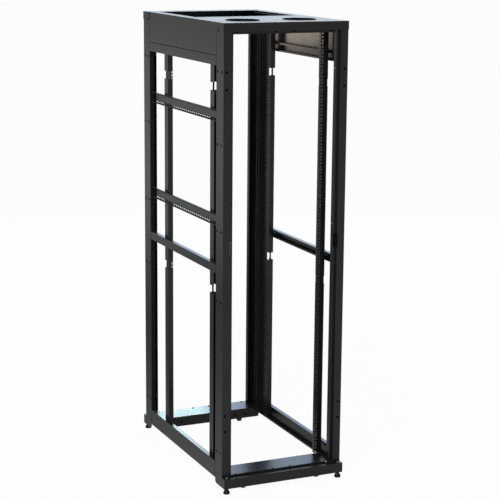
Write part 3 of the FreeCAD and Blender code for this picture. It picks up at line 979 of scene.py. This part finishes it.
@dataclass
class Casters:
    """Swivel casters: plated plates and forks, moulded wheels, and the bolts that hold them."""

    wheel_radius: float = 0.0249
    tread_half: float = 0.008
    tread_rounding: float = 0.0030
    rim_depth: float = 0.0065
    rim_rounding: float = 0.0006
    web_half: float = 0.0032
    web_rounding: float = 0.0008
    hub_half: float = 0.012
    hub_radius: float = 0.009
    hub_rounding: float = 0.0010
    bore: float = 0.0043
    bore_rounding: float = 0.0003
    segments: int = 56
    plate_sheet: float = 0.003
    bolt_x: float = 0.024
    bolt_y: float = 0.028
    nut_seat: float = 0.0155
    nut: Sizes = field(default_factory=lambda: {
        "Head radius": 0.0062, "Head height": 0.0030, "Washer radius": 0.0072, "Washer height": 0.0008,
    })
    ribs: WheelRibs = field(default_factory=WheelRibs)
    bolts: HexBolts = field(default_factory=HexBolts)

    def build(self) -> None:
        """Dress the plated solids and make wheels and bolts for each corner."""
        for corner in CORNERS:
            for part in ("caster_plate", "caster_fork"):
                dress(f"{corner.name}_{part}", Slot.ZINC)
            low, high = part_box(f"{corner.name}_caster_wheel")
            axle = (low + high) / 2
            self.wheel(corner, axle)
            self.plate_bolts(corner)
            self.axle_nuts(corner, axle)

    def wheel(self, corner: Corner, axle: Vector) -> None:
        """Turn a wheel with a round tread, a thin ribbed web and a long hub.

        Args:
            corner: The caster's corner.
            axle: The wheel's middle.
        """
        rim = self.wheel_radius - self.rim_depth
        half = [
            (self.bore, -self.hub_half, self.bore_rounding),
            (self.hub_radius, -self.hub_half, self.hub_rounding),
            (self.hub_radius, -self.web_half, self.web_rounding),
            (rim, -self.web_half, self.web_rounding),
            (rim, -self.tread_half, self.rim_rounding),
            (self.wheel_radius, -self.tread_half, self.tread_rounding),
        ]
        profile = Lathe.rounded(half + [(r, -z, rounding) for r, z, rounding in reversed(half)])
        place = Matrix.Translation(axle) @ Matrix.Rotation(math.pi / 2, 4, "Y")
        nylon = FINISHES[Slot.WHEEL]
        shape = bmesh.new()
        Lathe.spin(shape, profile, self.segments, place)
        absorb(shape, self.ribs.bake([Spot(axle, UP)], "ribs", nylon))
        mesh = mesh_from(shape, f"{corner.name}_wheel", nylon)
        add_piece(mesh, f"{corner.name}_roller", [f"{corner.name}_caster_wheel"])

    def plate_bolts(self, corner: Corner) -> None:
        """Bolt the mounting plate up into the sill.

        Args:
            corner: The caster's corner.
        """
        low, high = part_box(f"{corner.name}_caster_plate")
        middle = (low + high) / 2
        under = high.z - self.plate_sheet
        places = [(x, y) for x in (-self.bolt_x, self.bolt_x) for y in (-self.bolt_y, self.bolt_y)]
        spots = [Spot(Vector((middle.x + x, middle.y + y, under)), DOWN) for x, y in places]
        mesh = self.bolts.bake(spots, f"{corner.name}_caster_bolts", FINISHES[Slot.ZINC])
        add_piece(mesh, FRAME_BODY)

    def axle_nuts(self, corner: Corner, axle: Vector) -> None:
        """Cap both ends of the axle.

        Args:
            corner: The caster's corner.
            axle: The wheel's middle.
        """
        ways = [Vector((way, 0, 0)) for way in (-1, 1)]
        spots = [Spot(axle + facing * self.nut_seat, facing) for facing in ways]
        mesh = self.bolts.bake(spots, f"{corner.name}_axle_nuts", FINISHES[Slot.ZINC], self.nut)
        add_piece(mesh, f"{corner.name}_swivel")


@dataclass
class LacingBars:
    """The two cable bars on the left: a flat web between two flared flanges with slots and hemmed edges."""

    sheet: float = 0.0012
    web: float = 0.0155
    web_sheet: float = 0.002
    flare: float = 0.0140
    hem: float = 0.0100
    tongue: float = 0.024
    slot_from: float = 0.0012
    slot_to: float = 0.0082
    slots: int = 27
    pitch: float = 0.0254
    ribs: SlotRibs = field(default_factory=SlotRibs)

    def build(self) -> None:
        """Make both bars."""
        for name in ("lower_lacing_bar", "upper_lacing_bar"):
            low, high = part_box(name)
            shape = bmesh.new()
            middle = (low.z + high.z) / 2
            bottom, top = middle - self.web, middle + self.web
            back, face = high.x, high.x - self.web_sheet
            add_prism(shape, [(face, bottom), (back, bottom), (back, top), (face, top)], high.y)
            for way in (-1, 1):
                self.flange(shape, Vector((face, 0, middle + way * self.web)), way, high)
            mesh = mesh_from(shape, f"{name}_dressed", FINISHES[Slot.COAT])
            add_piece(mesh, FRAME_BODY, [name])

    def flange(self, shape: bmesh.types.BMesh, fold: Vector, way: int, high: Vector) -> None:
        """Add one flange as two strips with ribs between them, and its hem.

        Args:
            shape: The mesh that receives it.
            fold: The middle of the fold line along the web.
            way: 1 for the upper flange and -1 for the lower.
            high: The upper corner of the bar's box.
        """
        rise = high.z - fold.z - (1 - way) * self.web
        slope = Vector((-self.flare, 0, way * rise)).normalized()
        normal = Vector((slope.z, 0, -slope.x)) * way
        wide = math.hypot(self.flare, rise)
        half = high.y + self.tongue
        for first, last in ((0.0, self.slot_from), (self.slot_to, wide)):
            strip = [fold + slope * first, fold + slope * last]
            strip += [point + normal * self.sheet for point in reversed(strip)]
            add_prism(shape, [(point.x, point.z) for point in strip], half)
        tip = fold + slope * wide
        under = tip.z - way * self.sheet
        inner = tip.x + self.hem
        add_prism(shape, [(tip.x, tip.z), (inner, tip.z), (inner, under), (tip.x, under)], half)
        across = fold + slope * (self.slot_from + self.slot_to) / 2 + normal * self.sheet / 2
        spots = []
        for index in range(self.slots + 1):
            spots.append(Spot(across + Vector((0, (index - self.slots / 2) * self.pitch, 0)), normal))
        sizes = {"Thickness": self.sheet, "Width": self.slot_to - self.slot_from}
        absorb(shape, self.ribs.bake(spots, "ribs", FINISHES[Slot.COAT], sizes))


@dataclass
class PanelSeals:
    """Dark strips in the gaps under the upper side panels, painted shade where the gaps fall into shadow."""

    half: float = 0.415
    outer: float = 0.3000
    inner: float = 0.2865
    rounding: float = 0.0007

    def build(self) -> None:
        """Run a round-edged strip along each gap."""
        for side in Side:
            word = side.name.lower()
            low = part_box(f"{word}_upper_side_rail")[1].z
            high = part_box(f"{word}_upper_side_panel")[0].z
            edge = self.outer - self.rounding
            outline = [
                (self.inner, low), (edge, low), (self.outer, low + self.rounding),
                (self.outer, high - self.rounding), (edge, high), (self.inner, high),
            ]
            shape = bmesh.new()
            add_prism(shape, [(side.value * x, z) for x, z in outline], self.half)
            add_piece(mesh_from(shape, f"{word}_panel_seal", MattBush()), FRAME_BODY)


@dataclass
class Fixings:
    """Dark plugs of painted shade in the holes of the posts, headers and sills, screws on the sills, blanks
    in the rear latch openings.
    """

    side_holes: Outline = tuple(
        (inset, z) for z in (0.184, 0.896, 1.219, 1.607, 1.930) for inset in (0.0220, 0.0665)
    ) + ((0.0585, 2.108),)
    face_inset: float = 0.0151
    face_holes: tuple[float, ...] = (0.2918, 0.3677, 1.853, 1.930)
    skirt_x: tuple[float, ...] = (0.152, 0.204)
    skirt_z: float = 0.0535
    edge_x: tuple[float, ...] = (0.0445, 0.233)
    stop_inset: float = 0.02195
    stop_rise: float = 0.0080
    screw_inset: float = 0.0345
    lift: float = 0.00005
    small_radius: float = 0.0029
    small_flange: float = 0.0046
    screw: Sizes = field(default_factory=lambda: {
        "Head radius": 0.0030, "Head height": 0.0026, "Washer radius": 0.0042, "Washer height": 0.0008,
    })
    blank_outer: Outline = ((0.2537, 0.4849), (0.2663, 0.4849), (0.2663, 0.4997), (0.2705, 0.4997))
    blank_inner: Outline = ((0.2537, 0.4832), (0.2680, 0.4832), (0.2680, 0.4980), (0.2705, 0.4980))
    blank_z: tuple[float, float] = (1.1127, 1.1743)
    inserts: BlindInserts = field(default_factory=BlindInserts)
    bolts: HexBolts = field(default_factory=HexBolts)

    def build(self) -> None:
        """Make the fixings of every post, header and sill."""
        for corner in CORNERS:
            self.post_inserts(corner)
        for end in End:
            self.end_fixings(end)
        for side in Side:
            self.latch_blank(Corner(End.REAR, side))

    def press(self, spots: Sequence[Spot], name: str, sizes: Optional[Sizes] = None) -> None:
        """Put dark plugs, painted shade for the dark inside of the holes, at these spots, as one piece."""
        add_piece(self.inserts.bake(spots, name, MattBush(), sizes), FRAME_BODY)

    def post_inserts(self, corner: Corner) -> None:
        """Put plugs of painted shade into a post's side and face holes.

        Args:
            corner: The post's corner.
        """
        low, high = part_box(f"{corner.name}_post")
        out_x = max(abs(low.x), abs(high.x))
        out_y = max(abs(low.y), abs(high.y))
        outward, forward = corner.place(1, 0, 0), corner.place(0, 1, 0)
        spots = []
        for inset, z in self.side_holes:
            spots.append(Spot(corner.place(out_x + self.lift, out_y - inset, z), outward))
        for z in self.face_holes:
            spots.append(Spot(corner.place(out_x - self.face_inset, out_y + self.lift, z), forward))
        self.press(spots, f"{corner.name}_post_inserts")

    @staticmethod
    def row(end: End, places: Sequence[float], y: float, z: float, facing: Vector) -> list[Spot]:
        """Spots along one end of the rack, at these places to both sides of its middle."""
        return [Spot(Corner(end, side).place(x, y, z), facing) for x in places for side in Side]

    def end_fixings(self, end: End) -> None:
        """Put plugs of painted shade into a header's door stop and a sill's skirt, and set screws on the
        sill's plate.

        Args:
            end: The end of the rack.
        """
        word = end.name.lower()
        outward, inward = Vector((0, end.value, 0)), Vector((0, -end.value, 0))
        low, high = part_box(f"{word}_top_header")
        stop = max(abs(low.y), abs(high.y)) - self.stop_inset
        spots = self.row(end, self.edge_x, stop, low.z + self.stop_rise, outward)
        sizes = {"Radius": self.small_radius, "Flange radius": self.small_flange}
        self.press(spots, f"{word}_header_inserts", sizes)
        low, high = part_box(f"{word}_base_sill")
        near, far = sorted((abs(low.y), abs(high.y)))
        spots = self.row(end, self.skirt_x, near - self.lift, self.skirt_z, inward)
        self.press(spots, f"{word}_sill_inserts", {"Radius": self.small_radius})
        spots = self.row(end, self.edge_x, far - self.screw_inset, high.z, UP)
        mesh = self.bolts.bake(spots, f"{word}_sill_screws", FINISHES[Slot.COAT], self.screw)
        add_piece(mesh, FRAME_BODY)

    def latch_blank(self, corner: Corner) -> None:
        """Close a post's latch opening with a folded blank that follows the post's section.

        Args:
            corner: The post's corner.
        """
        shape = bmesh.new()
        rows = []
        for z in self.blank_z:
            for line in (self.blank_outer, self.blank_inner):
                rows.append([shape.verts.new(corner.place(x, y, z)) for x, y in line])
        low_out, low_in, high_out, high_in = rows
        pairs = ((low_out, low_in), (high_out, high_in), (low_out, high_out), (low_in, high_in))
        for index in range(len(low_out) - 1):
            after = index + 1
            for first, second in pairs:
                shape.faces.new((first[index], first[after], second[after], second[index]))
        for index in (0, -1):
            shape.faces.new((low_out[index], low_in[index], high_in[index], high_out[index]))
        mesh = mesh_from(shape, f"{corner.name}_latch_blank", FINISHES[Slot.COAT])
        add_piece(mesh, FRAME_BODY)


@dataclass(frozen=True)
class Lamp:
    """A soft box that the camera doesn't see, which lights everything or only the nodes that it names."""

    name: str
    at: Point
    towards: Point
    wide: float
    tall: float
    watts: float
    colour: Colour
    lit: tuple[str, ...] = ()

    def hang(self) -> None:
        """Hang the lamp and link it to its nodes."""
        data = bpy.data.lights.new(self.name, "AREA")
        data.shape = "RECTANGLE"
        data.size = self.wide
        data.size_y = self.tall
        data.energy = self.watts
        data.color = self.colour
        lamp = bpy.data.objects.new(self.name, data)
        lamp.location = self.at
        lamp.rotation_euler = (Vector(self.towards) - Vector(self.at)).to_track_quat("-Z", "Y").to_euler()
        lamp.visible_camera = False
        bpy.context.scene.collection.objects.link(lamp)
        if self.lit:
            nodes = bpy.data.collections.new(f"{self.name}_lit")
            for node in self.lit:
                nodes.objects.link(frame["nodes"][node])
            lamp.light_linking.receiver_collection = nodes


LAMPS = (
    Lamp("key", (-2.5, -3.0, 4.5), (0, 0, 1.0), 2.5, 2.5, 120.0, (1.0, 0.99, 0.97)),
    Lamp("upper_window", (3.3, 5.5, 3.47), (0.6, 0.1, 2.37), 3.9, 1.95, 34.0, (0.80, 0.91, 1.0)),
    Lamp("lower_window", (3.3, 5.3, 1.53), (0.6, -0.1, 0.43), 3.9, 1.95, 56.0, (0.45, 0.67, 1.0)),
    Lamp("low_window", (1.24, 4.0, 1.34), (-0.1, 0.4, 0.1), 0.50, 0.50, 9.5, (0.74, 1.0, 0.97),
         ("rear_base_sill", "left_lower_side_rail")),
    Lamp("warm", (-0.22, 1.05, 2.02), (0.25, 0, 2.08), 0.20, 0.20, 0.82, (1.0, 0.84, 0.68),
         ("right_upper_side_panel", "right_upper_side_rail", "front_right_post", "front_right_rack_rail")),
)


@dataclass
class Studio:
    """Pale floor, white surroundings, soft lamps and the photograph's camera."""

    eye: Point = (-2.92004, -6.62371, 2.54855)
    right: Point = (0.91296742, -0.40795245, 0.0080802)
    ahead: Point = (0.40070338, 0.89265641, -0.20640093)
    lens_pixels: float = 1530.1434
    picture_pixels: float = 500.0
    sensor: float = 36.0
    clip_end: float = 100.0
    white: Colour = (1.0, 1.0, 1.0)
    floor_half: float = 30.0
    floor_colour: Colour = (0.9, 0.9, 0.9)
    near_white: float = 0.96
    mirrored_share: float = 0.75
    # Painted shade in the floor's reflected glow: dark and warm round this point, lifting to full glow at
    # this reach.
    dim_at: Point = (1.1, -2.6, 0.0)
    dim_reach: float = 5.0
    dim_low: float = 0.08
    dim_high: float = 0.92
    dim_tint: Colour = (1.0, 0.97, 0.92)
    cool_tint: Colour = (0.97, 0.99, 1.0)
    far_from: float = 15.0
    far_to: float = 26.0
    far_tint: Colour = (1.0, 0.95, 0.88)
    sky_white: float = 0.974
    sky_seen: float = 0.35
    sky_light: float = 0.40

    def build(self) -> None:
        """Set the stage."""
        bpy.context.scene.view_settings.view_transform = "Standard"
        self.camera()
        self.floor()
        self.world()
        for lamp in LAMPS:
            lamp.hang()

    def camera(self) -> None:
        """Stand the camera where the photograph was taken from."""
        data = bpy.data.cameras.new("camera")
        data.sensor_width = self.sensor
        data.lens = self.sensor * self.lens_pixels / self.picture_pixels
        data.clip_end = self.clip_end
        eye = bpy.data.objects.new("camera", data)
        right, ahead = Vector(self.right), Vector(self.ahead)
        up = right.cross(ahead)
        turn = Matrix((right, up, -ahead)).transposed().to_4x4()
        eye.matrix_world = Matrix.Translation(self.eye) @ turn
        bpy.context.scene.collection.objects.link(eye)
        bpy.context.scene.camera = eye

    @staticmethod
    def seen(tree: Tree) -> tuple[Socket, Socket]:
        """How a ray meets the surroundings.

        Args:
            tree: The tree of the floor or the world.

        Returns:
            1 for a ray from the camera, and 1 for a ray by gloss or glass.
        """
        path = tree.node("ShaderNodeLightPath")
        mirrored = path["Is Glossy Ray"] + path["Is Transmission Ray"]
        return path["Is Camera Ray"], mirrored.math("MINIMUM", mirrored, 1.0)

    def floor(self) -> None:
        """Lay a pale floor that keeps a soft shadow."""
        mesh = bpy.data.meshes.new("floor")
        half = self.floor_half
        corners = [(-half, -half, 0), (half, -half, 0), (half, half, 0), (-half, half, 0)]
        mesh.from_pydata(corners, [], [(0, 1, 2, 3)])
        material = bpy.data.materials.new("PaleFloor")
        skin = Skin(material)
        matt = skin.node("ShaderNodeBsdfDiffuse", None, {"Color": (*self.floor_colour, 1.0)})["BSDF"]
        inputs = {"Vector": skin.where, "Location": self.dim_at}
        centred = skin.node("ShaderNodeMapping", None, inputs)["Vector"]
        away = skin.node("ShaderNodeVectorMath", {"operation": "LENGTH"}, {"Vector": centred})["Value"]
        # Painted shade on the floor as reflections see it: the glow is dimmest and warmest round one point
        # and brightens outwards.
        fade = away.ramp(0.0, self.dim_reach) * (self.dim_high - self.dim_low) + self.dim_low
        straight, mirrored = self.seen(skin)
        near = skin.mix(fade, self.dim_tint, self.cool_tint)
        shown = skin.mix(away.ramp(self.far_from, self.far_to), near, self.far_tint)
        tint = skin.mix(mirrored, self.white, shown)
        inputs = {"Color": tint, "Strength": straight + mirrored * fade}
        glow = skin.node("ShaderNodeEmission", None, inputs)["Emission"]
        share = straight * self.near_white + mirrored * self.mirrored_share
        inputs = {"Fac": share, "Shader": matt, "Shader_001": glow}
        both = skin.node("ShaderNodeMixShader", None, inputs)["Shader"]
        skin.node("ShaderNodeOutputMaterial", None, {"Surface": both})
        mesh.materials.append(material)
        floor = bpy.data.objects.new("floor", mesh)
        bpy.context.scene.collection.objects.link(floor)

    def world(self) -> None:
        """White where it is seen, dimmer as a source of light."""
        world = bpy.data.worlds.new("studio")
        world.use_nodes = True
        bpy.context.scene.world = world
        tree = Tree(world.node_tree)
        straight, mirrored = self.seen(tree)
        other = 1 - straight - mirrored
        strength = straight * self.sky_white + mirrored * self.sky_seen + other * self.sky_light
        inputs = {"Color": (*self.white, 1.0), "Strength": strength}
        sky = tree.node("ShaderNodeBackground", None, inputs)["Background"]
        tree.node("ShaderNodeOutputWorld", None, {"Surface": sky})


def main() -> None:
    """Build and dress the rack and set the stage."""
    logging.basicConfig(level=logging.INFO, format="%(message)s")
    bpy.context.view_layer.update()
    for part in (SheetFrame, CablePorts, LevellingFeet, Casters, LacingBars, PanelSeals, Fixings, Studio):
        part().build()


if __name__ == "__main__":
    main()
